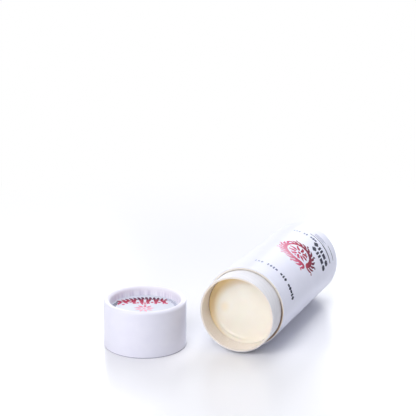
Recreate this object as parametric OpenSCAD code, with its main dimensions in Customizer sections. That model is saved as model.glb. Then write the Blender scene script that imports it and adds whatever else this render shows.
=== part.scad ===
// Balm stick in a push-up paper tube, lying on its side with the cap off and standing beside it.
// Millimetres. +Z is up, the tube's mouth faces -Y, and the origin is on the surface that both
// pieces stand on, under the middle of the whole set.

/* [Walls] */
// Diameter of the balm chamber, measured inside the lining
bore_d = 37; // [28:0.5:46]
// Thickness of the greaseproof lining
liner_t = 0.12; // [0.08:0.01:0.3]
// Board thickness of the inner tube, whose end forms the neck
neck_board_t = 0.7; // [0.5:0.05:1.5]
// Thickness of the white paper round the neck
neck_paper_t = 0.22; // [0.1:0.01:0.3]
// Board thickness of the outer tube
body_board_t = 1.48; // [1.1:0.02:2]
// Thickness of the white paper wrapped round the tube and the cap
wrap_t = 0.2; // [0.1:0.01:0.3]
// Radius of the hollow left inside a rolled rim
fold_gap = 0.2; // [0.05:0.01:0.4]

/* [Tube] */
// Length of the outer tube, from its rolled base rim to its shoulder
body_len = 88.5; // [60:0.5:130]
// Length of neck that stands out of the outer tube
neck_len = 11.6; // [6:0.2:16]
// Depth of the recess inside each rolled rim
recess_depth = 4.8; // [3:0.1:8]
// Width of the bevel inside the outer tube's cut end, measured from the neck
shoulder_bevel_w = 0.4; // [0.1:0.05:0.8]
// Depth of that bevel
shoulder_bevel_d = 0.9; // [0.3:0.1:2]

/* [Cap] */
// Height of the cap over its rolled rim
cap_h = 24.2; // [22:0.1:40]
// Radial gap between the cap and the neck
cap_gap = 0.12; // [0.05:0.01:0.3]
// Board thickness of the cap's end disc
cap_disc_t = 1.2; // [0.8:0.1:2]
// Depth to which the end disc is pressed into the wall round it
disc_bite = 0.3; // [0.1:0.05:0.5]
// Thickness of the printed paper on the end disc
cap_label_t = 0.2; // [0.1:0.01:0.3]
// Gap left between the printed paper and the pleats around it
cap_label_margin = 0.2; // [0.1:0.05:1]

/* [Push-up disc] */
// Thickness of the disc that a thumb pushes
push_disc_t = 1.2; // [0.8:0.1:2]
// Height of the disc over its turned-up skirt
push_skirt_h = 6; // [4:0.5:10]
// Thickness of the skirt
push_skirt_t = 1; // [0.6:0.1:1.5]
// Radial gap between the lining and what slides in it
slide_gap = 0.1; // [0.05:0.01:0.3]

/* [Balm] */
// Depth of the balm's edge below the rim of the neck
balm_recess = 8.3; // [4:0.1:30]
// Height that the poured surface climbs at the wall
meniscus_h = 1; // [0.4:0.1:2]
// Width of the band over which it climbs
meniscus_w = 2.4; // [1:0.1:5]
// Height of the wave that set in the surface, inside that band
wave_h = 0.14; // [0.05:0.01:0.4]
// Width of the wave
wave_w = 2.6; // [1.5:0.1:4]
// Distance of its crest from the side of the stick
wave_in = 4.1; // [3:0.1:6]
// Depth of the hollow where the balm shrank as it set
sink_h = 0.5; // [0.1:0.1:1]
// Diameter of that hollow
sink_d = 14; // [6:1:20]

/* [Paper work] */
// Number of pleats where the wrap is turned into a recess
pleats = 60; // [24:1:96]
// Height of each pleat
pleat_h = 0.16; // [0.05:0.01:0.3]
// Thickness that the gathering adds between two pleats
gather_t = 0.04; // [0.02:0.01:0.1]
// Overlap of the wrap along its glued seam
seam_w = 7; // [3:0.5:8]
// Direction of the seam, in degrees round the tube and the cap
seam_turn = 230; // [195:1:238]

/* [Layout] */
// Clear space between the standing cap and the side of the lying tube
stand_gap = 5.5; // [2:0.5:60]
// Distance of the cap's axis in front of the rim of the neck
cap_ahead = 5.4; // [-60:0.2:40]

/* [Hidden] */
$fn = 96;

// Radii from the inside out
bore_r = bore_d / 2;
neck_bore_r = bore_r + liner_t;
neck_board_r = neck_bore_r + neck_board_t;
neck_r = neck_board_r + neck_paper_t;
outer_r = neck_board_r + body_board_t + wrap_t;
slide_r = bore_r - slide_gap;

// The cap's board fills what is left between its gap over the neck and the tube's own outline
cap_bore_r = neck_r + cap_gap;
cap_board_t = outer_r - wrap_t - cap_bore_r;

// A rolled rim is the wall folded back on itself, so its section is a full round, whose radius
// follows from the board; the recess inside it is what two of those radii leave
tube_roll_r = body_board_t + wrap_t + fold_gap;
cap_roll_r = cap_board_t + wrap_t + fold_gap;
function recess_r(roll_r) = outer_r - 2 * roll_r;

// Heights along the standing tube
neck_rim_z = body_len + neck_len;
balm_foot_z = recess_depth + push_disc_t;
balm_edge_z = neck_rim_z - balm_recess;
push_skirt_z = recess_depth + push_skirt_h;

// Places on the surface
cap_pitch = 2 * outer_r + stand_gap;
front_reach = max(neck_len, neck_len + cap_ahead + outer_r);
back_reach = max(body_len, outer_r - neck_len - cap_ahead);
tube_x = cap_pitch / 2;
shoulder_y = (front_reach - back_reach) / 2;
base_y = shoulder_y + body_len;
cap_y = shoulder_y - neck_len - cap_ahead;

// Steps from the middle of the balm's surface to its edge, and where in its pitch a pleat peaks
surface_steps = 36;
pleat_crest = 0.8;
// Overlap that makes united solids one, and how far a cut runs past what it cuts
weld = 0.05;
cut_past = 1;

white_paper = [0.93, 0.93, 0.97];
raw_board = [0.86, 0.80, 0.70];
lining_paper = [0.80, 0.72, 0.60];
balm_colour = [0.94, 0.89, 0.78];

// Section of one layer of a wall that is folded inwards at z = 0: the layer lies between two
// distances from the middle of the fold
module rolled_section(roll_r, far, near, wall_top, flange_top) {
  middle_r = outer_r - roll_r;
  translate([middle_r, roll_r]) difference() {
    circle(r = far);
    circle(r = near);
    translate([-far - weld, 0]) square([2 * (far + weld), far + weld]);
  }
  translate([middle_r + near, roll_r]) square([far - near, wall_top - roll_r]);
  translate([middle_r - far, roll_r]) square([far - near, flange_top - roll_r]);
}

// Board wall with its rolled rim; a length of wall, and the board's own thickness
module rolled_board(length, roll_r, board_t) {
  far = roll_r - wrap_t;
  rotate_extrude() rolled_section(roll_r, far, far - board_t, length, recess_depth);
}

// Outline of the gathered paper, seen along the tube: each pleat rises slowly and drops sharply
function pleat_outline(foot_r) =
  [for (i = [0 : pleats - 1], side = [0, 1])
    let (turn = (i + pleat_crest * side) * 360 / pleats, r = foot_r - pleat_h * side)
      r * [cos(turn), sin(turn)]];

module pleated_flange(roll_r) {
  translate([0, 0, roll_r]) linear_extrude(height = recess_depth - roll_r) difference() {
    circle(r = recess_r(roll_r) + wrap_t);
    polygon(pleat_outline(recess_r(roll_r) - gather_t));
  }
}

// The lap of the wrap along its seam, one more thickness of paper on the outside
module seam_lap(length, roll_r) {
  lap_angle = seam_w / outer_r * 180 / PI;
  lap_foot = roll_r + wrap_t;
  reach = 2 * outer_r;
  translate([0, 0, lap_foot]) linear_extrude(height = length - lap_foot) intersection() {
    difference() {
      circle(r = outer_r + wrap_t);
      circle(r = outer_r - wrap_t / 2);
    }
    polygon([
      [0, 0],
      reach * [cos(seam_turn), sin(seam_turn)],
      reach * [cos(seam_turn + lap_angle), sin(seam_turn + lap_angle)]
    ]);
  }
}

// White paper round a board wall, turned over the rolled rim and pleated down inside it
module rolled_wrap(length, roll_r) {
  rotate_extrude() rolled_section(roll_r, roll_r, roll_r - wrap_t, length, roll_r + weld);
  pleated_flange(roll_r);
  seam_lap(length, roll_r);
}

// A plain sleeve between two heights
module sleeve(outer, inner, foot, top) {
  translate([0, 0, foot]) difference() {
    cylinder(r = outer, h = top - foot);
    translate([0, 0, -cut_past]) cylinder(r = inner, h = top - foot + 2 * cut_past);
  }
}

// Lays a standing tube on its side, with its mouth to -Y
module lay_tube() {
  translate([tube_x, base_y, outer_r]) rotate([90, 0, 0]) children();
}

// Stands the cap on its open edge: it is drawn closed end down, as the tube's base is
module stand_cap() {
  translate([-tube_x, cap_y, cap_h]) rotate([180, 0, 0]) children();
}

// The cut end of the outer tube is bevelled inside, so that a groove is left round the neck
module shoulder_bevel() {
  slope = (neck_paper_t + shoulder_bevel_w) / shoulder_bevel_d;
  cut_h = shoulder_bevel_d + cut_past;
  translate([0, 0, body_len - shoulder_bevel_d])
    cylinder(r1 = neck_board_r, r2 = neck_board_r + slope * cut_h, h = cut_h);
}

module outer_tube() {
  color(raw_board) lay_tube() difference() {
    rolled_board(body_len, tube_roll_r, body_board_t);
    shoulder_bevel();
  }
}

module label_wrap() {
  color(white_paper) lay_tube() rolled_wrap(body_len, tube_roll_r);
}

// The inner tube stands on the rolled flange of the base and runs out past the shoulder
module neck_tube() {
  color(raw_board) lay_tube() sleeve(neck_board_r, neck_bore_r, recess_depth, neck_rim_z);
}

// White paper glued round the neck, from the shoulder to the rim
module neck_paper() {
  color(white_paper) lay_tube() sleeve(neck_r, neck_board_r, body_len, neck_rim_z);
}

module greaseproof_lining() {
  color(lining_paper) lay_tube() sleeve(neck_bore_r, bore_r, recess_depth, neck_rim_z);
}

// A shallow board cup that rests on the flange of the base and carries the balm
module push_disc() {
  color(raw_board) lay_tube() difference() {
    translate([0, 0, recess_depth]) cylinder(r = slide_r, h = push_skirt_h);
    translate([0, 0, balm_foot_z]) cylinder(r = slide_r - push_skirt_t, h = push_skirt_h);
  }
}

// Level of the poured surface at a distance from the axis: it climbs at the wall, a wave has set
// in it further in, and its middle has sunk
function climb(r) = meniscus_h * pow(max(0, (r - slide_r + meniscus_w) / meniscus_w), 2);
function hump(share) = abs(share) < 1 ? (1 + cos(180 * share)) / 2 : 0;
function wave(r) = wave_h * hump((r - slide_r + wave_in) / (wave_w / 2));
function sink(r) = sink_h * hump(r / (sink_d / 2));
function balm_surface(r) = [r, balm_edge_z - meniscus_h + climb(r) + wave(r) - sink(r)];

// The cast stick: a foot held in the push-up disc, a straight body, and the surface as it set
module balm() {
  surface_points = [for (i = [0 : surface_steps]) balm_surface(slide_r * i / surface_steps)];
  foot_points = [
    [slide_r, push_skirt_z],
    [slide_r - push_skirt_t, push_skirt_z],
    [slide_r - push_skirt_t, balm_foot_z],
    [0, balm_foot_z]
  ];
  color(balm_colour) lay_tube() rotate_extrude() polygon(concat(surface_points, foot_points));
}

// The cap's wall is dented all round where the end disc is pressed into it
module cap_tube() {
  color(raw_board) stand_cap() difference() {
    rolled_board(cap_h, cap_roll_r, cap_board_t);
    translate([0, 0, recess_depth]) cylinder(r = cap_bore_r + disc_bite, h = cap_disc_t);
  }
}

module cap_wrap() {
  color(white_paper) stand_cap() rolled_wrap(cap_h, cap_roll_r);
}

// The end disc lies against the rolled flange, and its edge sits in the dent in the wall
module cap_disc() {
  color(raw_board) stand_cap()
    translate([0, 0, recess_depth]) cylinder(r = cap_bore_r + disc_bite, h = cap_disc_t);
}

// Printed paper on the disc, down in the recess
module cap_label() {
  label_r = recess_r(cap_roll_r) - gather_t - pleat_h - cap_label_margin;
  color(white_paper) stand_cap()
    translate([0, 0, recess_depth - cap_label_t]) cylinder(r = label_r, h = cap_label_t);
}

outer_tube();
label_wrap();
neck_tube();
neck_paper();
greaseproof_lining();
push_disc();
balm();
cap_tube();
cap_wrap();
cap_disc();
cap_label();
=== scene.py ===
"""The looks of a balm stick in a push-up paper tube, with its cap standing beside it."""

import math
import random

import bmesh
import bpy
from mathutils import Matrix, Vector, noise


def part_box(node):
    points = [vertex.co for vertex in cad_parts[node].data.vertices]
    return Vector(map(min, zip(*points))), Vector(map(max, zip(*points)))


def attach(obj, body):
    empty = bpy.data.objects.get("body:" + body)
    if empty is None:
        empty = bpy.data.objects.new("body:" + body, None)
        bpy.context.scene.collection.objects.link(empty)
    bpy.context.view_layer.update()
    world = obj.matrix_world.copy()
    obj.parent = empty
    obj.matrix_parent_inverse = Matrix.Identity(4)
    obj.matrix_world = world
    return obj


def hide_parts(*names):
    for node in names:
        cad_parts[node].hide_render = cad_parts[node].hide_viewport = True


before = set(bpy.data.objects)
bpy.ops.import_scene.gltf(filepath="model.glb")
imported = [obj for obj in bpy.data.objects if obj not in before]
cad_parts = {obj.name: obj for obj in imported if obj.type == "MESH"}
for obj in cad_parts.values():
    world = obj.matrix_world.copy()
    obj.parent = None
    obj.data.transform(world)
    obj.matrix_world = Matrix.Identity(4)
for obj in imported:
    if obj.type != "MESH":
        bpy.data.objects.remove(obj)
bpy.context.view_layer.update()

MM = 0.001
SEED = 7

# Sizes in millimetres. Those that a box can tell are read from the boxes of the CAD parts in
# model.glb, and the rest repeat the CAD's.
LINER_T = 0.12
WRAP_T = 0.2
FOLD_GAP = 0.2
CAP_GAP = 0.12
RECESS_DEPTH = 4.8
GATHER_T = 0.04
PLEAT_H = 0.16
PLEATS = 60
SEAM_TURN = math.radians(230)
SEAM_W = 7
MENISCUS_H = 1
MENISCUS_W = 2.4
WAVE_W = 2.6
WAVE_IN = 2.9
SINK_H = 0.5
SINK_D = 14
# The wave set in the balm: its heights, and the middle and half width of its taller part
WAVE_LOW = 0.06
WAVE_HIGH = 0.5
WAVE_TURN = math.radians(-110)
WAVE_SPREAD = math.radians(46)
INK_T = 0.02

WALL_STEPS = 40
ROLL_STEPS = 28
FLANGE_STEPS = 12


def box_mm(node):
    """Lowest and highest corner of a CAD node in millimetres."""
    low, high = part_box(node)
    return low / MM, high / MM


TUBE_LOW, TUBE_HIGH = box_mm("label_wrap")
NECK_LOW, NECK_HIGH = box_mm("neck_tube")
PAPER_LOW, PAPER_HIGH = box_mm("neck_paper")
LINING_LOW, LINING_HIGH = box_mm("greaseproof_lining")
DISC_LOW = box_mm("push_disc")[0]
BALM_LOW, BALM_HIGH = box_mm("balm")
CAP_LOW, CAP_HIGH = box_mm("cap_wrap")
LABEL_LOW, LABEL_HIGH = box_mm("cap_label")

OUTER_R = (TUBE_HIGH.z - TUBE_LOW.z) / 2
TUBE_X = (NECK_LOW.x + NECK_HIGH.x) / 2
BASE_Y = TUBE_HIGH.y
BODY_LEN = TUBE_HIGH.y - TUBE_LOW.y
NECK_BOARD_R = (NECK_HIGH.z - NECK_LOW.z) / 2
NECK_R = (PAPER_HIGH.z - PAPER_LOW.z) / 2
NECK_RIM = BASE_Y - NECK_LOW.y
NECK_FOOT = BASE_Y - NECK_HIGH.y
NECK_BORE_R = (LINING_HIGH.z - LINING_LOW.z) / 2
BORE_R = NECK_BORE_R - LINER_T
SLIDE_R = (BALM_HIGH.z - BALM_LOW.z) / 2
BALM_EDGE = BASE_Y - BALM_LOW.y
BALM_FOOT = BASE_Y - BALM_HIGH.y
SKIRT_TOP = BASE_Y - DISC_LOW.y
CAP_CENTRE = (CAP_LOW + CAP_HIGH) / 2
CAP_H = CAP_HIGH.z
LABEL_R = (LABEL_HIGH.x - LABEL_LOW.x) / 2
# The wall is folded back on itself at each rolled rim, so the rim's radius follows from the board
TUBE_ROLL_R = OUTER_R - NECK_BOARD_R + FOLD_GAP
CAP_ROLL_R = OUTER_R - NECK_R - CAP_GAP + FOLD_GAP

# A tube is drawn standing on its rolled end and then laid on its side; the cap is turned over
LAY_TUBE = Matrix.Translation((TUBE_X, BASE_Y, OUTER_R)) @ Matrix.Rotation(math.pi / 2, 4, "X")
STAND_CAP = (Matrix.Translation((CAP_CENTRE.x, CAP_CENTRE.y, CAP_H))
             @ Matrix.Rotation(math.pi, 4, "X"))

# The photograph's camera, fitted to the outlines of the tube and the cap
PHOTO_SIDE = 416
PHOTO_FOCAL = 1229.3
CAMERA_AT = Vector((234.68, -568.9, 236.4))
CAMERA_TURN = math.radians(23.076)
CAMERA_DIP = math.radians(15.683)
CAMERA_ROLL = 0.010


# Meshes


def add_mesh(name, points, faces, material, smooth=True):
    """A mesh object from points in millimetres."""
    mesh = bpy.data.meshes.new(name)
    mesh.from_pydata([Vector(p) * MM for p in points], [], faces)
    mesh.validate()
    mesh.materials.append(material)
    piece = bpy.data.objects.new(name, mesh)
    bpy.context.scene.collection.objects.link(piece)
    for polygon in mesh.polygons:
        polygon.use_smooth = smooth
    return piece


def sharpen(piece, degrees=40):
    """Smooth shading that stays sharp over edges steeper than an angle."""
    piece.data.set_sharp_from_angle(angle=math.radians(degrees))
    return piece


def revolve(name, place, profile, material, turns=256, radius=None, closed=True):
    """A solid of revolution. profile is a list of (radius, height), closed into a loop or, if not
    closed, with both ends on the axis. turns is a number of steps or a list of angles. radius, if
    given, returns the radius at an angle, for an index in the profile."""
    angles = turns if isinstance(turns, list) else [2 * math.pi * i / turns for i in range(turns)]
    count = len(angles)
    inner = profile if closed else profile[1:-1]
    offset = 0 if closed else 1
    points = []
    for angle in angles:
        for k, (r, z) in enumerate(inner):
            if radius:
                r = radius(angle, k + offset, r, z)
            points.append(place @ Vector((r * math.cos(angle), r * math.sin(angle), z)))
    n = len(inner)
    steps = range(n) if closed else range(n - 1)
    faces = []
    for i in range(count):
        j = (i + 1) % count
        faces += [(i * n + k, j * n + k, j * n + (k + 1) % n, i * n + (k + 1) % n)
                  for k in steps]
    if not closed:
        first, last = len(points), len(points) + 1
        points.append(place @ Vector((0, 0, profile[0][1])))
        points.append(place @ Vector((0, 0, profile[-1][1])))
        for i in range(count):
            j = (i + 1) % count
            faces.append((first, j * n, i * n))
            faces.append((last, i * n + n - 1, j * n + n - 1))
    return sharpen(face_outwards(add_mesh(name, points, faces, material)))


def face_outwards(piece):
    """Makes every face of a closed mesh point outwards."""
    work = bmesh.new()
    work.from_mesh(piece.data)
    bmesh.ops.recalc_face_normals(work, faces=work.faces)
    work.to_mesh(piece.data)
    work.free()
    return piece


def span(low, high, steps):
    """Even steps from low to high, both included."""
    return [low + (high - low) * i / steps for i in range(steps + 1)]


def arc(middle, radius, start, end, steps):
    """Points (r, z) round an arc, with angles in degrees."""
    return [(middle[0] + radius * math.cos(math.radians(a)),
             middle[1] + radius * math.sin(math.radians(a))) for a in span(start, end, steps)]


def smooth_step(low, high, value):
    """0 below low, 1 above high and a smooth change between them."""
    t = min(1, max(0, (value - low) / (high - low)))
    return t * t * (3 - 2 * t)


# Materials


class Shader:
    """A material whose nodes are added one call at a time."""

    def __init__(self, name):
        self.material = bpy.data.materials.new(name)
        self.material.use_nodes = True
        self.nodes = self.material.node_tree.nodes
        self.links = self.material.node_tree.links
        self.surface = self.nodes["Principled BSDF"]
        self.place = self.add("ShaderNodeTexCoord").outputs["Object"]

    def add(self, kind, inputs=None, **settings):
        node = self.nodes.new(kind)
        for key, value in settings.items():
            setattr(node, key, value)
        for key, value in (inputs or {}).items():
            self.feed(node.inputs[key], value)
        return node

    def feed(self, socket, value):
        if isinstance(value, bpy.types.NodeSocket):
            self.links.new(value, socket)
        else:
            socket.default_value = value

    def set(self, **inputs):
        for key, value in inputs.items():
            self.feed(self.surface.inputs[key.replace("_", " ")], value)
        return self

    def math(self, operation, a, b=0.0, c=0.0):
        node = self.add("ShaderNodeMath", operation=operation)
        for socket, value in zip(node.inputs, (a, b, c)):
            self.feed(socket, value)
        return node.outputs[0]

    def noise(self, scale, detail=2.0, roughness=0.5, vector=None):
        """Noise from 0 to 1; scale is in cycles per millimetre."""
        return self.add("ShaderNodeTexNoise", {
            "Vector": vector or self.place, "Scale": scale / MM, "Detail": detail,
            "Roughness": roughness}).outputs["Fac"]

    def stretched(self, x, y, z):
        """The place on the object, with each axis stretched by a factor."""
        return self.add("ShaderNodeVectorMath", {0: self.place, 1: (x, y, z)},
                        operation="MULTIPLY").outputs[0]

    def ramp(self, value, *stops):
        """A colour ramp of (position, colour) stops."""
        node = self.add("ShaderNodeValToRGB", {"Fac": value})
        elements = node.color_ramp.elements
        while len(elements) < len(stops):
            elements.new(0.5)
        for element, (position, colour) in zip(elements, stops):
            element.position = position
            element.color = (*colour, 1)
        return node.outputs["Color"]

    def axes(self, vector=None):
        return self.add("ShaderNodeSeparateXYZ", {0: vector or self.place}).outputs

    def reach(self, x, z=None, y=None):
        """Distance from an axis: along Y if z is given, or else along Z."""
        places = self.axes()
        across = self.math("SUBTRACT", places[0], x * MM)
        other = self.math("SUBTRACT", places[1] if z is None else places[2],
                          (y if z is None else z) * MM)
        return self.math("SQRT", self.math("MULTIPLY_ADD", across, across,
                                           self.math("MULTIPLY", other, other)))

    def fade(self, value, low, high, most=1.0):
        """0 below low and most above high, with a smooth change between; both in millimetres."""
        return self.add("ShaderNodeMapRange", {
            "Value": value, "From Min": low * MM, "From Max": high * MM, "To Max": most},
            interpolation_type="SMOOTHSTEP").outputs[0]

    def blend(self, share, under, over):
        """One colour over another; each is a socket or a tuple."""
        colours = [c if isinstance(c, bpy.types.NodeSocket) else (*c, 1) for c in (under, over)]
        return self.add("ShaderNodeMix", {"Factor": share, 6: colours[0], 7: colours[1]},
                        data_type="RGBA").outputs[2]

    def bump(self, height, distance, strength=1.0):
        """Bump from a height of 0 to 1; distance is its depth in millimetres."""
        node = self.add("ShaderNodeBump", {
            "Height": height, "Distance": distance * MM, "Strength": strength})
        self.links.new(node.outputs[0], self.surface.inputs["Normal"])
        return self


def white_paper(name, pale, dull, roughness=0.38, coat=0.25):
    """Coated label paper: faint cloudiness in its white, fine fibres and a soft gloss."""
    shader = Shader(name)
    cloud = shader.noise(0.16, detail=4)
    fibre = shader.noise(5.0, detail=3, roughness=0.65)
    shader.set(Base_Color=shader.ramp(cloud, (0.3, dull), (0.7, pale)),
               Roughness=shader.math("MULTIPLY_ADD", fibre, 0.12, roughness - 0.06),
               Coat_Weight=coat, Coat_Roughness=0.22, Specular_IOR_Level=0.5)
    return shader.bump(fibre, 0.012).material


def gathered_paper(name, pale, fold_shade, middle, axis, rim):
    """Paper gathered into a recess: folds run down it, with painted shade darkening their valleys
    below the rim. axis is the number of the recess's axis and rim its place there; the folds begin
    under the rim."""
    shader = Shader(name)
    flat = [0 if i == axis else 1 for i in range(3)]
    out = shader.add("ShaderNodeVectorMath", {0: shader.place, 1: middle * MM},
                     operation="SUBTRACT").outputs[0]
    out = shader.add("ShaderNodeVectorMath", {0: out, 1: flat}, operation="MULTIPLY").outputs[0]
    out = shader.add("ShaderNodeVectorMath", {0: out}, operation="NORMALIZE").outputs[0]
    folds = shader.noise(10.0 * MM, detail=3, roughness=0.7, vector=out)
    tucked = shader.fade(shader.axes()[axis], rim - 1.2, rim - 3.2)
    # painted shade: the fold valleys are darker below the rim
    colour = shader.blend(tucked, pale, shader.ramp(folds, (0.4, fold_shade), (0.54, pale)))
    shader.set(Base_Color=colour, Roughness=0.45, Specular_IOR_Level=0.35)
    return shader.bump(shader.math("MULTIPLY", folds, tucked), 0.2).material


def neck_paper(name):
    """The inner tube's outside: uncoated white paper wound in a spiral."""
    shader = Shader(name)
    x, y, z = shader.axes()
    across = shader.math("SUBTRACT", x, TUBE_X * MM)
    upward = shader.math("SUBTRACT", z, OUTER_R * MM)
    turn = shader.math("ARCTAN2", across, upward)
    lead = 2 * math.pi / (26 * MM)
    wound = shader.math("MULTIPLY_ADD", y, lead, turn)
    wave = shader.math("SINE", shader.math("MULTIPLY", wound, 9.0))
    streak = shader.math("POWER", shader.math("MULTIPLY_ADD", wave, 0.5, 0.5), 8.0)
    fibre = shader.noise(4.0, detail=4, roughness=0.65)
    cloud = shader.noise(0.25, detail=3)
    shade = shader.math("MULTIPLY_ADD", streak, 0.22, shader.math("MULTIPLY", cloud, 0.5))
    shader.set(Base_Color=shader.ramp(shade, (0.2, (0.89, 0.88, 0.91)), (0.7, (0.80, 0.79, 0.83))),
               Roughness=0.5, Specular_IOR_Level=0.45)
    return shader.bump(shader.math("MULTIPLY_ADD", streak, 0.7, fibre), 0.02).material


# Places in millimetres across the tube from its axis, from which the reach of each painted shade
# is measured
SHADE_CRESCENT_FROM = (3.0, -3.6)
SHADED_DIMPLE_AT = (-10, -0.3)
CONTACT_SHADE_FROM = (12, -8)
SHADED_SIDE_FROM = (17, -10)
# Painted shade on the balm: an ochre crescent where the rim shades its top
BALM_SHADE_CRESCENT = (0.90, 0.65, 0.28)
# painted shade of a shallow dimple in the balm's top
BALM_DIMPLE_SHADE = (0.90, 0.76, 0.50)
# painted shade where the balm meets the lining on the left
BALM_CONTACT_SHADE = (0.40, 0.24, 0.13)


def from_axis(shader, place):
    """Distance from a line along the tube that is off its axis by a place across it."""
    return shader.reach(TUBE_X + place[0], OUTER_R + place[1])


def board(name, pale, dark, centre, ring_mm, brown_layer_and_shade=None):
    """Paperboard: its cut ends show the layers as rings round an axis. The last argument, if
    given, holds two radii between which its cream turns to the brown of its outermost layer; this
    brown is kept to the lower right, where it is painted shade of the neck and rim."""
    shader = Shader(name)
    reach = shader.reach(*centre)
    layer = shader.math("SINE", shader.math("MULTIPLY", reach, 2 * math.pi / (ring_mm * MM)))
    fibre = shader.noise(2.4, detail=5, roughness=0.7)
    shade = shader.math("MULTIPLY_ADD", layer, 0.16, fibre)
    colour = shader.ramp(shade, (0.3, dark), (0.72, pale))
    if brown_layer_and_shade:
        # painted shade: the brown layer shows only on the lower right, where the neck shades the
        # board
        side = shader.fade(from_axis(shader, SHADED_SIDE_FROM), 20, 10)
        colour = shader.blend(shader.math("MULTIPLY", shader.fade(reach, *brown_layer_and_shade), side),
                              colour, KRAFT)
    shader.set(Base_Color=colour, Roughness=0.85, Specular_IOR_Level=0.3)
    return shader.bump(shade, 0.05).material


def greaseproof(name):
    """Tan greaseproof paper: a waxy sheen over long faint fibres."""
    shader = Shader(name)
    fibre = shader.noise(1.4, detail=5, roughness=0.6, vector=shader.stretched(1, 0.35, 1))
    shader.set(Base_Color=shader.ramp(fibre, (0.3, LINING_DARK), (0.75, LINING_PALE)),
               Roughness=0.42, Specular_IOR_Level=0.5, Coat_Weight=0.4, Coat_Roughness=0.25)
    return shader.bump(fibre, 0.02).material


def balm_material(name):
    """Set balm: waxy and slightly see-through, with cloudy tints and a soft gloss. Painted shade
    deepens its colour in a crescent on the upper left where the rim shades it, at a spot where a
    shallow dimple is shaded, and along the lining on the left where the balm meets it."""
    shader = Shader(name)
    cloud = shader.noise(0.07, detail=3, roughness=0.55)
    grain = shader.noise(1.6, detail=4, roughness=0.6)
    ripple = shader.noise(0.16, detail=2)
    colour = shader.ramp(cloud, (0.3, (0.92, 0.86, 0.74)), (0.7, (0.95, 0.90, 0.79)))
    top = shader.fade(shader.axes()[1], BALM_LOW.y + 2.6, BALM_LOW.y + 1.2)
    # painted shade: an ochre crescent on the upper left of the top, where the rim shades the balm
    shade_crescent = shader.fade(from_axis(shader, SHADE_CRESCENT_FROM), 15.6, 21.5)
    shade_crescent = shader.math("MULTIPLY", shade_crescent, top)
    colour = shader.blend(shade_crescent, colour, BALM_SHADE_CRESCENT)
    # painted shade: a darker spot where a shallow dimple in the top is shaded
    spot = shader.fade(from_axis(shader, SHADED_DIMPLE_AT), 3.8, 0.2, 0.5)
    colour = shader.blend(spot, colour, BALM_DIMPLE_SHADE)
    # painted shade: a brown line on the left where the balm meets the lining
    edge = shader.fade(shader.reach(TUBE_X, OUTER_R), SLIDE_R - 0.5, SLIDE_R - 0.1, 0.85)
    side = shader.fade(from_axis(shader, CONTACT_SHADE_FROM), 28.4, 30.8)
    edge = shader.math("MULTIPLY", shader.math("MULTIPLY", edge, side), top)
    colour = shader.blend(edge, colour, BALM_CONTACT_SHADE)
    shader.set(Base_Color=colour, Roughness=shader.math("MULTIPLY_ADD", grain, 0.1, 0.2),
               Subsurface_Weight=0.25, Subsurface_Scale=0.8 * MM,
               Subsurface_Radius=(1.0, 0.6, 0.35), IOR=1.46,
               Coat_Weight=shader.math("MULTIPLY_ADD", top, 0.6, 0.2), Coat_Roughness=0.12)
    shader.bump(shader.math("MULTIPLY_ADD", ripple, 3.0, grain), 0.03)
    return shader.material


def ink(name, colour, gloss=0.45):
    """Printed ink: slightly uneven, with the paper's fibres in it."""
    shader = Shader(name)
    patch = shader.noise(1.1, detail=3)
    worn = tuple(min(1, c * 1.25 + 0.02) for c in colour)
    shader.set(Base_Color=shader.ramp(patch, (0.35, colour), (0.8, worn)), Roughness=gloss,
               Specular_IOR_Level=0.12)
    return shader.bump(shader.noise(5.0, detail=2), 0.006).material


def graded_ink(name, start, end, *stops):
    """Ink that changes colour along a line from start to end, both in millimetres."""
    shader = Shader(name)
    line = end - start
    from_start = shader.add("ShaderNodeVectorMath", {0: shader.place, 1: start * MM},
                            operation="SUBTRACT").outputs[0]
    along = shader.add("ShaderNodeVectorMath",
                       {0: from_start, 1: line / (line.length_squared * MM)},
                       operation="DOT_PRODUCT").outputs["Value"]
    uneven = shader.math("MULTIPLY_ADD", shader.noise(0.35, detail=3), 0.3, -0.15)
    shader.set(Base_Color=shader.ramp(shader.math("ADD", along, uneven), *stops), Roughness=0.45,
               Specular_IOR_Level=0.12)
    return shader.bump(shader.noise(5.0, detail=2), 0.006).material


LINING_PALE = (0.93, 0.86, 0.79)
LINING_DARK = (0.87, 0.78, 0.69)
BOARD_PALE = (0.95, 0.92, 0.86)
BOARD_DARK = (0.88, 0.82, 0.73)
WHITE = white_paper("printed_wrap", (0.85, 0.86, 1.0), (0.825, 0.835, 0.98))
CAP_WHITE = white_paper("cap_paper", (0.875, 0.87, 0.97), (0.845, 0.84, 0.95), 0.38, 0.35)
LABEL_WHITE = white_paper("label_paper", (0.69, 0.715, 0.80), (0.65, 0.675, 0.765), 0.34, 0.15)
TUBE_GATHERED = gathered_paper("gathered_wrap", (0.85, 0.86, 0.97), (0.72, 0.72, 0.83),
                               Vector((TUBE_X, 0, OUTER_R)), 1, BASE_Y)
CAP_GATHERED = gathered_paper("gathered_cap_paper", (0.93, 0.91, 0.99), (0.76, 0.72, 0.84),
                              CAP_CENTRE, 2, CAP_H)
NECK_WHITE = neck_paper("neck_paper")
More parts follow.
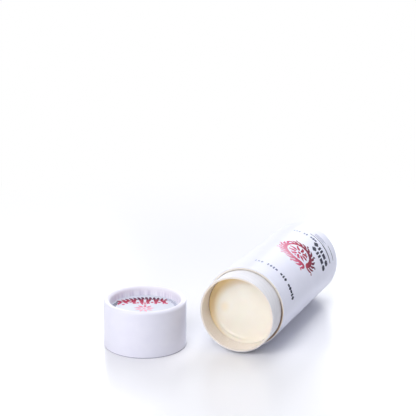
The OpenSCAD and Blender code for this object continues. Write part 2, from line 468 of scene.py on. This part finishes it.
# Brown of the board's outermost layer, which on the lower right also serves as painted shade
KRAFT = (0.42, 0.29, 0.21)
TUBE_BOARD = board("tube_board", BOARD_PALE, BOARD_DARK, (TUBE_X, OUTER_R), 0.32,
                   (NECK_R + 0.95, NECK_R + 0.75))
NECK_BOARD = board("neck_board", (0.92, 0.85, 0.77), (0.86, 0.78, 0.69), (TUBE_X, OUTER_R), 0.32,
                   (NECK_BOARD_R - 0.08, NECK_BOARD_R - 0.02))
CAP_BOARD = board("cap_board", BOARD_PALE, BOARD_DARK,
                  (CAP_CENTRE.x, None, CAP_CENTRE.y), 0.32)
DISC_BOARD = board("disc_board", (0.80, 0.77, 0.72), (0.68, 0.64, 0.58), (TUBE_X, OUTER_R), 30)
LINING = greaseproof("lining_paper")
BALM = balm_material("balm")
# Dark paper for the cap's cut edge: painted shade of the contact line at the floor
CONTACT_SHADE_PAPER = white_paper("contact_shade_paper", (0.42, 0.41, 0.50), (0.34, 0.33, 0.42), 0.7, 0.0)
NAVY_DARK = (0.012, 0.014, 0.045)
NAVY = ink("navy_ink", NAVY_DARK)
GREY = ink("grey_ink", (0.22, 0.24, 0.36))

PINK = (0.86, 0.42, 0.55)
ROSE = (0.68, 0.08, 0.19)
RED = (0.36, 0.006, 0.04)
PLUM = (0.065, 0.004, 0.04)


# Rolled and wrapped ends


def pleat_angles():
    """Where each pleat of a gathered edge begins, unevenly spaced as folded by a machine."""
    draw = random.Random(SEED)
    step = 2 * math.pi / PLEATS
    return [step * (i + draw.uniform(-0.22, 0.22)) for i in range(PLEATS)]


def pleat_wave(angle, starts):
    """Height of the pleats from 0 to 1: a slow rise, then a sharp drop to the next pleat."""
    turn = 2 * math.pi
    angle %= turn
    for i, start in enumerate(starts):
        end = starts[i + 1] if i + 1 < len(starts) else starts[0] + turn
        for shift in (0, turn):
            if start <= angle + shift < end:
                share = (angle + shift - start) / (end - start)
                return smooth_step(0, 0.8, share) * (1 - smooth_step(0.86, 0.98, share))
    return 0.0


def lap_height(angle):
    """How much the overlap of the wrap adds at an angle: it eases in and ends in a cut edge."""
    width = SEAM_W / OUTER_R
    share = (angle - SEAM_TURN) / width
    return smooth_step(0, 0.35, share) if share < 1 else 0.0


def wrap_profile(length, roll_r, edge):
    """Section of the paper from its cut edge down the wall, round the roll and up the recess.
    edge is the height over which the cut edge is worn round."""
    middle_r = OUTER_R - roll_r
    recess_r = middle_r - roll_r
    return (
        [(OUTER_R - edge / 2, length), (OUTER_R, length - edge)]
        + [(OUTER_R, z) for z in span(length - 2 * edge, roll_r, WALL_STEPS)]
        + arc((middle_r, roll_r), roll_r, 0, -180, ROLL_STEPS)[1:]
        + [(recess_r, z) for z in span(roll_r, RECESS_DEPTH, FLANGE_STEPS)[1:]]
        + [(recess_r + WRAP_T, RECESS_DEPTH), (recess_r + WRAP_T, roll_r)]
        + arc((middle_r, roll_r), roll_r - WRAP_T, -180, 0, ROLL_STEPS)[1:]
        + [(OUTER_R - WRAP_T, length)]
    )


def paper_wrap(name, place, length, roll_r, materials, edge):
    """White paper round a wall and its rolled rim, pleated inside the recess. materials are those
    of the wall, the pleats and, where it is seen, the cut edge, whose dark colour is painted shade
    where the wrap meets the floor."""
    starts = pleat_angles()
    outer_count = 3 + WALL_STEPS
    flange_end = outer_count + ROLL_STEPS + FLANGE_STEPS
    waves = {}

    def radius(angle, k, r, z):
        if 0 < k < outer_count:
            return r + WRAP_T * lap_height(angle) * smooth_step(roll_r * 0.9, roll_r * 1.6, z)
        if outer_count <= k < flange_end and r < OUTER_R - roll_r:
            if angle not in waves:
                waves[angle] = pleat_wave(angle, starts)
            depth = smooth_step(0.25 * roll_r, RECESS_DEPTH * 0.8, z)
            return r - depth * (GATHER_T + PLEAT_H * waves[angle])
        return r

    lap_end = SEAM_TURN + SEAM_W / OUTER_R
    turns = sorted([2 * math.pi * i / 720 for i in range(720)] + [lap_end - 0.0004, lap_end])
    wrap = revolve(name, place, wrap_profile(length, roll_r, edge), materials[0], turns, radius)
    for material in materials[1:]:
        wrap.data.materials.append(material)
    for face in wrap.data.polygons:
        spot = place.inverted() @ (face.center / MM)
        if spot.xy.length < OUTER_R - roll_r and spot.z < RECESS_DEPTH:
            face.material_index = 1
        # the cut edge takes the dark painted shade of the contact line
        elif len(materials) > 2 and spot.z > length - edge:
            face.material_index = 2
    return wrap


# Print


def strip(centre_line, widths):
    """A flat strip along a line: three points across, so that it follows a curved wall."""
    points, faces = [], []
    for i, (u, v) in enumerate(centre_line):
        before = centre_line[max(i - 1, 0)]
        after = centre_line[min(i + 1, len(centre_line) - 1)]
        along = Vector((after[0] - before[0], after[1] - before[1])).normalized()
        side = Vector((-along.y, along.x)) * widths[i] / 2
        points += [(u + side.x, v + side.y), (u, v), (u - side.x, v - side.y)]
    for i in range(len(centre_line) - 1):
        a = 3 * i
        faces += [(a, a + 1, a + 4, a + 3), (a + 1, a + 2, a + 5, a + 4)]
    return points, faces


def disc(u, v, radius, sides=16):
    """A flat round dot."""
    rim = [(u + radius * math.cos(2 * math.pi * i / sides),
            v + radius * math.sin(2 * math.pi * i / sides)) for i in range(sides)]
    return [(u, v)] + rim, [(0, i + 1, (i + 1) % sides + 1) for i in range(sides)]


def printed(name, shapes, surface, material, body):
    """Thin closed solids of ink on a surface. surface(u, v, lift) gives a point."""
    points, faces = [], []
    for order, (flat, cells) in enumerate(shapes):
        lift = INK_T * (1 + 0.02 * (order % 12))
        base, count = len(points), len(flat)
        points += [surface(u, v, lift) for u, v in flat]
        points += [surface(u, v, -INK_T) for u, v in flat]
        uses = {}
        for cell in cells:
            for a, b in zip(cell, cell[1:] + cell[:1]):
                uses[(a, b)] = uses.get((a, b), 0) + 1
        faces += [tuple(base + a for a in cell) for cell in cells]
        faces += [tuple(base + count + a for a in reversed(cell)) for cell in cells]
        for a, b in uses:
            if (b, a) not in uses:
                faces.append((base + a, base + count + a, base + count + b, base + b))
    piece = add_mesh(name, points, faces, material, smooth=False)
    face_outwards(piece)
    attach(piece, body)
    return piece


def on_tube(u, v, lift):
    """A point on the tube's wall: u millimetres round it from the top towards +X, and v from the
    shoulder towards the base."""
    angle = u / OUTER_R
    r = OUTER_R + lift
    return Vector((TUBE_X + r * math.sin(angle), TUBE_LOW.y + v, OUTER_R + r * math.cos(angle)))


def on_label(u, v, lift):
    """A point on the cap's label, with u along X and v along Y from its middle."""
    return Vector((CAP_CENTRE.x + u, CAP_CENTRE.y + v, LABEL_HIGH.z + lift))


def leaf(root, turn, length, width, bend=0.2, steps=8):
    """A pointed leaf from a root, turned by an angle and bent a little."""
    line, widths = [], []
    for i in range(steps + 1):
        t = i / steps
        heading = turn + bend * t
        line.append((root[0] + length * t * math.cos(heading),
                     root[1] + length * t * math.sin(heading)))
        widths.append(max(0.05, width * math.sin(math.pi * t ** 0.8) ** 0.9))
    return strip(line, widths)


# Scene


def fitted_camera():
    data = bpy.data.cameras.new("camera")
    data.sensor_width = 36
    data.lens = PHOTO_FOCAL / PHOTO_SIDE * data.sensor_width
    data.clip_start = 0.05
    data.clip_end = 20
    camera = bpy.data.objects.new("camera", data)
    bpy.context.scene.collection.objects.link(camera)
    camera.matrix_world = (Matrix.Translation(CAMERA_AT * MM)
                           @ Matrix.Rotation(CAMERA_TURN, 4, "Z")
                           @ Matrix.Rotation(math.pi / 2 - CAMERA_DIP, 4, "X")
                           @ Matrix.Rotation(CAMERA_ROLL, 4, "Z"))
    bpy.context.scene.camera = camera


def soft_lamp(name, at, power, colour, width=400):
    """A rectangular soft box aimed at the middle of the set; places in millimetres."""
    data = bpy.data.lights.new(name, "AREA")
    data.shape = "RECTANGLE"
    data.size, data.size_y = width * MM, LAMP_H * MM
    data.energy = power
    data.color = colour
    lamp = bpy.data.objects.new(name, data)
    bpy.context.scene.collection.objects.link(lamp)
    lamp.visible_camera = False
    lamp.location = Vector(at) * MM
    lamp.rotation_mode = "QUATERNION"
    lamp.rotation_quaternion = (LAMP_AIM - Vector(at)).to_track_quat("-Z", "Y")


def is_seen(nodes, links):
    """1 for camera, glossy and transmission rays, else 0."""
    path = nodes.new("ShaderNodeLightPath")
    total = path.outputs["Is Camera Ray"]
    for other in ("Is Glossy Ray", "Is Transmission Ray"):
        node = nodes.new("ShaderNodeMath")
        node.operation = "MAXIMUM"
        links.new(total, node.inputs[0])
        links.new(path.outputs[other], node.inputs[1])
        total = node.outputs[0]
    return total


def white_world():
    """Even light from all round, and plain white wherever the world itself is seen."""
    world = bpy.data.worlds.new("studio")
    bpy.context.scene.world = world
    world.use_nodes = True
    nodes, links = world.node_tree.nodes, world.node_tree.links
    nodes.clear()
    light = nodes.new("ShaderNodeBackground")
    light.inputs["Color"].default_value = (*WORLD_COLOUR, 1)
    light.inputs["Strength"].default_value = WORLD_LIGHT
    shown = nodes.new("ShaderNodeBackground")
    shown.inputs["Color"].default_value = (1, 1, 1, 1)
    shown.inputs["Strength"].default_value = 1
    mix = nodes.new("ShaderNodeMixShader")
    links.new(is_seen(nodes, links), mix.inputs["Fac"])
    links.new(light.outputs[0], mix.inputs[1])
    links.new(shown.outputs[0], mix.inputs[2])
    out = nodes.new("ShaderNodeOutputWorld")
    links.new(mix.outputs[0], out.inputs["Surface"])


def glossy_floor():
    """A white floor with a faint mirror image: plain white further out, where no shadow falls."""
    material = bpy.data.materials.new("floor")
    material.use_nodes = True
    nodes, links = material.node_tree.nodes, material.node_tree.links
    surface = nodes["Principled BSDF"]
    surface.inputs["Base Color"].default_value = (*FLOOR_COLOUR, 1)
    surface.inputs["Roughness"].default_value = FLOOR_ROUGHNESS
    surface.inputs["Specular IOR Level"].default_value = FLOOR_GLOSS
    place = nodes.new("ShaderNodeTexCoord")
    reach = nodes.new("ShaderNodeVectorMath")
    reach.operation = "LENGTH"
    links.new(place.outputs["Object"], reach.inputs[0])
    fade = nodes.new("ShaderNodeMapRange")
    fade.interpolation_type = "SMOOTHSTEP"
    fade.inputs["From Min"].default_value = FLOOR_NEAR * MM
    fade.inputs["From Max"].default_value = FLOOR_FAR * MM
    links.new(reach.outputs["Value"], fade.inputs["Value"])
    share = nodes.new("ShaderNodeMath")
    share.operation = "MULTIPLY"
    links.new(is_seen(nodes, links), share.inputs[0])
    links.new(fade.outputs[0], share.inputs[1])
    plain = nodes.new("ShaderNodeEmission")
    mix = nodes.new("ShaderNodeMixShader")
    links.new(share.outputs[0], mix.inputs["Fac"])
    links.new(surface.outputs[0], mix.inputs[1])
    links.new(plain.outputs[0], mix.inputs[2])
    links.new(mix.outputs[0], nodes["Material Output"].inputs["Surface"])
    around = ((-1, -1), (1, -1), (1, 1), (-1, 1))
    corners = [(x * FLOOR_SIDE, y * FLOOR_SIDE, 0) for x, y in around]
    floor = add_mesh("floor", corners, [(0, 1, 2, 3)], material, smooth=False)


WORLD_COLOUR = (0.64, 0.70, 1.0)
WORLD_LIGHT = 0.045
FLOOR_COLOUR = (0.93, 0.93, 0.95)
FLOOR_ROUGHNESS = 0.25
FLOOR_GLOSS = 0.4
FLOOR_NEAR = 130
FLOOR_FAR = 330
FLOOR_SIDE = 6000
LAMP_AIM = Vector((5, 0, 15))
LAMP_H = 400
COOL = (0.94, 0.96, 1.0)

view = bpy.context.scene.view_settings
view.view_transform = "Standard"
fitted_camera()
white_world()
glossy_floor()
soft_lamp("key", (-394, -682, 318), 1.7, (1.0, 0.985, 0.985))
soft_lamp("front", (0, -632, 569), 3.0, (0.97, 0.97, 1.0))
soft_lamp("top", (20, 0, 850), 2.1, (0.97, 0.98, 1.0), 700)
soft_lamp("back", (0, 450, 721), 1.5, COOL)
soft_lamp("back_low", (0, 817, 234), 1.15, COOL)
soft_lamp("back_left", (-520, 520, 425), 1.55, COOL)
soft_lamp("back_right", (520, 520, 425), 1.2, COOL)


# The paper tube


def outer_tube_piece():
    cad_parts["outer_tube"].data.materials.clear()
    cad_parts["outer_tube"].data.materials.append(TUBE_BOARD)


def label_wrap_piece():
    wrap = paper_wrap("paper_wrap", LAY_TUBE, BODY_LEN, TUBE_ROLL_R,
                      (WHITE, TUBE_GATHERED), 0.06)
    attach(wrap, "tube")
    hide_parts("label_wrap")


def neck_board_piece():
    """The inner tube of board, whose cut end is the cream rim."""
    edge = 0.12
    profile = (
        [(NECK_BOARD_R, z) for z in span(NECK_FOOT, NECK_RIM - edge, 12)]
        + arc((NECK_BOARD_R - edge, NECK_RIM - edge), edge, 0, 90, 5)[1:]
        + [(NECK_BORE_R, NECK_RIM), (NECK_BORE_R, NECK_FOOT)]
    )
    neck = revolve("neck_board", LAY_TUBE, profile, NECK_BOARD)
    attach(neck, "tube")
    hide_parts("neck_tube")


def neck_paper_piece():
    """White paper on the neck: its cut edge at the rim is a little soft."""
    edge = 0.08
    profile = (
        [(NECK_R, z) for z in span(BODY_LEN, NECK_RIM - edge, 24)]
        + arc((NECK_R - edge, NECK_RIM - edge), edge, 0, 90, 4)[1:]
        + [(NECK_BOARD_R, NECK_RIM), (NECK_BOARD_R, BODY_LEN)]
    )
    paper = revolve("neck_paper_ply", LAY_TUBE, profile, NECK_WHITE, 360)
    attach(paper, "tube")
    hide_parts("neck_paper")


def lining_piece():
    edge = 0.05
    profile = (
        [(NECK_BORE_R, NECK_FOOT), (NECK_BORE_R, NECK_RIM)]
        + [(BORE_R + edge, NECK_RIM), (BORE_R, NECK_RIM - edge)]
        + [(BORE_R, z) for z in span(NECK_RIM - 1, NECK_RIM - 16, 16)]
        + [(BORE_R, NECK_FOOT)]
    )
    lining = revolve("lining", LAY_TUBE, profile, LINING, 256)
    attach(lining, "tube")
    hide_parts("greaseproof_lining")


# The stick


def hump(share):
    """1 in the middle, and a smooth fall to 0 at -1 and 1."""
    return (1 + math.cos(math.pi * share)) / 2 if abs(share) < 1 else 0.0


def balm_height(r, angle):
    """Level of the poured surface over its plain part. The wave stands up most on one side."""
    low_side = hump((math.sin(angle) + 1) / 1.6)
    climb = MENISCUS_H * max(0, (r - SLIDE_R + MENISCUS_W) / MENISCUS_W) ** 2
    climb *= 1 - 0.75 * low_side
    side = math.atan2(math.sin(angle - WAVE_TURN), math.cos(angle - WAVE_TURN))
    tall = WAVE_LOW + (WAVE_HIGH - WAVE_LOW) * hump(side / WAVE_SPREAD)
    wander = noise.noise(Vector((r * math.cos(angle), r * math.sin(angle), 3)) * 0.11)
    return (climb + tall * hump((r - SLIDE_R + WAVE_IN) / (WAVE_W / 2))
            - SINK_H * hump(r / (SINK_D / 2)) + 0.1 * wander * (1 - (r / SLIDE_R) ** 4))


def balm_piece():
    level = BALM_EDGE - MENISCUS_H
    surface = [(r, level) for r in span(0, SLIDE_R, 120)]
    side = [(SLIDE_R, z) for z in span(BALM_EDGE - 1, SKIRT_TOP, 30)]
    foot_r = SLIDE_R - 1
    profile = surface + side + [(foot_r, SKIRT_TOP), (foot_r, BALM_FOOT), (0, BALM_FOOT)]
    stick = revolve("balm_stick", LAY_TUBE, profile, BALM, 240, closed=False)
    for vertex in stick.data.vertices:
        x, y, z = LAY_TUBE.inverted() @ (vertex.co / MM)
        if z > level - 0.01:
            lift = balm_height(math.hypot(x, y), math.atan2(y, x))
            vertex.co = LAY_TUBE @ Vector((x, y, level + lift)) * MM
    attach(stick, "stick")
    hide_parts("balm")


def push_disc_piece():
    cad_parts["push_disc"].data.materials.clear()
    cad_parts["push_disc"].data.materials.append(DISC_BOARD)


# The cap


def cap_pieces():
    for node in ("cap_tube", "cap_disc"):
        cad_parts[node].data.materials.clear()
        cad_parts[node].data.materials.append(CAP_BOARD)
    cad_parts["cap_label"].data.materials.clear()
    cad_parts["cap_label"].data.materials.append(LABEL_WHITE)
    wrap = paper_wrap("cap_paper_wrap", STAND_CAP, CAP_H, CAP_ROLL_R,
                      (CAP_WHITE, CAP_GATHERED, CONTACT_SHADE_PAPER), 0.5)
    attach(wrap, "cap")
    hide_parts("cap_wrap")


# The printed ornament


def round_ring(shapes_at, v, first, last, count, left_out=()):
    """Marks along a ring round the tube, from one angle to another, in degrees from the top."""
    shapes = []
    for i, degrees in enumerate(span(first, last, count - 1)):
        if i not in left_out:
            shapes += shapes_at(math.radians(degrees) * OUTER_R, v, i)
    return shapes


def small_mark(u, v, i):
    """Upright ticks, squares and lozenges, in turn, larger towards the side of the tube."""
    kind = (0, 1, 2, 1, 0, 2)[i % 6]
    size = 0.8 + 0.4 * u / OUTER_R
    if kind == 0:
        return [upright(u, v, 1.2 * size, (0.8, 0.8, 0.8), size)]
    if kind == 1:
        return [upright(u, v, 0.8 * size, (1.25, 1.25, 1.25), size)]
    return [upright(u, v, 1.3 * size, (0.35, 1.5, 0.35), size)]


def upright(u, v, half, widths, size=1.0):
    """A strip along the tube with three widths."""
    return strip([(u, v - half), (u, v), (u, v + half)], [width * size for width in widths])


def bold_mark(u, v, i):
    """Lozenges, paired bars, squares and rounds, in turn."""
    kind = i % 4
    if kind == 0:
        return [upright(u, v, 2.2, (0.7, 3.5, 0.7))]
    if kind == 1:
        return [upright(u + side, v, 2.0, (1.3, 1.3, 1.3)) for side in (-1, 1)]
    if kind == 2:
        return [upright(u, v, 1.7, (3.0, 3.0, 3.0))]
    return [upright(u, v, 1.9, (2.0, 3.5, 2.0))]


def rule(v, first, last, width):
    """A thin line round part of the tube."""
    steps = 40
    line = [(math.radians(a) * OUTER_R, v) for a in span(first, last, steps)]
    return [strip(line, [width] * (steps + 1))]


def laurel(centre, radius, start, end, count, leaf_length, leaf_w, stem_w):
    """A bent stem with leaves on both sides, all round part of a circle, in degrees."""
    steps = 60
    shapes = [strip([(centre[0] + radius * math.cos(math.radians(a)),
                      centre[1] + radius * math.sin(math.radians(a)))
                     for a in span(start, end, steps)],
                    [stem_w * (1 - 0.5 * i / steps) for i in range(steps + 1)])]
    way = 1 if end > start else -1
    for i, degrees in enumerate(span(start, end, count)):
        turn = math.radians(degrees)
        size = leaf_length * (1 - 0.35 * i / count)
        root = (centre[0] + radius * math.cos(turn), centre[1] + radius * math.sin(turn))
        for side in (1, -1):
            heading = turn + way * (math.pi / 2 - side * 0.85)
            shapes.append(leaf(root, heading, size, leaf_w, side * way * 0.4))
            berry = heading - side * way * 0.5
            reach = size * 0.75
            if i % 2:
                shapes.append(disc(root[0] + reach * math.cos(berry),
                                   root[1] + reach * math.sin(berry), leaf_w * 0.42, 10))
    return shapes


def blossom(centre, radius, petals):
    """Petals round a dot."""
    shapes = [disc(centre[0], centre[1], radius * 0.16, 14)]
    for i in range(petals):
        turn = 2 * math.pi * i / petals
        root = (centre[0] + radius * 0.28 * math.cos(turn),
                centre[1] + radius * 0.28 * math.sin(turn))
        shapes.append(leaf(root, turn, radius * 0.72, radius * 0.28, 0.15))
    return shapes


# Where the print begins, in millimetres from the shoulder: rows of marks, and the wreath's middle
RING_V = 13.5
FAR_RING_V = 71.8
BOLD_ROWS = (63.6, 69.0)
WREATH_AT = (13.2, 46.5)
WREATH_R = 9.0
# How far the cap's print is turned to face the camera, and how far its marks are in from the edge
CAP_ART_TURN = math.radians(26)
MARK_IN = 1.8
# Navy tones of the ring marks; the pale one is painted highlight towards the top of the tube
PALE_NAVY = (0.42, 0.46, 0.62)
MID_NAVY = (0.10, 0.12, 0.25)


def tube_print():
    def on_wrap(name, shapes, material):
        printed(name, shapes, on_tube, material, "tube")

    # painted highlight: the navy pales towards the top of the tube, where glare falls
    glare_paled_navy = graded_ink("navy_ink_painted_highlight", on_tube(24, 13, 0), on_tube(0, 13, 0),
                        (0.25, NAVY_DARK), (0.5, MID_NAVY), (0.95, PALE_NAVY))
    on_wrap("ring_marks", round_ring(small_mark, RING_V, 1, 80, 18, (3, 8, 12))
            + round_ring(small_mark, FAR_RING_V, 2, 38, 10, (3, 6)), glare_paled_navy)
    on_wrap("bold_marks", round_ring(bold_mark, BOLD_ROWS[0], 46, 78, 4)
            + round_ring(bold_mark, BOLD_ROWS[1], 43, 75, 4), NAVY)
    on_wrap("rules", rule(75.2, 24, 50, 0.5) + rule(75.0, 50, 80, 1.0)
            + rule(80.5, 56, 80, 0.5), NAVY)
    on_wrap("faint_rules", rule(77.0, 30, 52, 0.4) + rule(78.2, 30, 48, 0.4)
            + rule(79.4, 30, 52, 0.4), GREY)
    blush = graded_ink("blush_ink", on_tube(23, 56, 0), on_tube(3, 37, 0),
                       (0.05, PLUM), (0.35, RED), (0.62, ROSE), (0.92, PINK))
    shapes = laurel(WREATH_AT, WREATH_R, -30, 132, 10, 6.2, 1.5, 1.3)
    shapes += laurel(WREATH_AT, WREATH_R, -38, -200, 10, 6.2, 1.5, 1.3)
    shapes += blossom(WREATH_AT, 6.3, 9)
    on_wrap("wreath", shapes, blush)


def on_turned_label(u, v, lift):
    """A point on the label, with u to the right and v away as the photograph sees it."""
    turned = Matrix.Rotation(CAP_ART_TURN, 2) @ Vector((u, v))
    return on_label(turned.x, turned.y, lift)


# The garland's swag on the label: its height, the width of its bend, and its two ends
SWAG_V = 11.5
SWAG_BEND = 34
SWAG_ENDS = (-12, 10)


def cap_print():
    blush = graded_ink("cap_blush_ink", on_turned_label(0, 12, 0), on_turned_label(0, -6, 0),
                       (0.0, PLUM), (0.14, RED), (0.5, ROSE), (0.88, PINK))
    swag = [(x, SWAG_V - x * x / SWAG_BEND) for x in span(*SWAG_ENDS, 24)]
    shapes = [strip(swag, [1.1] * len(swag))]
    for i, (x, y) in enumerate(swag[::2]):
        outward = math.radians(90 - 3.2 * x)
        shapes.append(leaf((x, y), outward, 3.2, 1.5, 0.25))
        inward = math.radians(-90 + 2.0 * x + (16 if i % 2 else -16))
        tall = 4.6 + 4.4 * hump(x / 11) - 1.2 * (i % 3)
        shapes.append(leaf((x, y), inward, tall, 1.7, -0.3 if x > 0 else 0.3))
        shapes.append(disc(x + 0.9, y - tall * 0.8, 0.8, 10))
    shapes += blossom((-0.5, -2.2), 5.2, 9)
    printed("cap_garland", shapes, on_turned_label, blush, "cap")
    printed("cap_left_marks", edge_marks(span(150, 192, 7), 1.0), on_turned_label, NAVY, "cap")
    printed("cap_right_marks", edge_marks(span(-6, 44, 10), 0.6), on_turned_label, GREY, "cap")


def edge_marks(angles, width):
    """Short ticks and dots along the label's edge, at angles in degrees."""
    shapes = []
    for i, degrees in enumerate(angles):
        turn = math.radians(degrees)
        place = Vector((math.cos(turn), math.sin(turn)))
        half = (1.1, 0.7, 0.9)[i % 3]
        line = [tuple(place * (LABEL_R - MARK_IN + step)) for step in (-half, 0, half)]
        shapes.append(strip(line, [width] * 3))
    return shapes


outer_tube_piece()
label_wrap_piece()
neck_board_piece()
neck_paper_piece()
lining_piece()
balm_piece()
push_disc_piece()
cap_pieces()
tube_print()
cap_print()
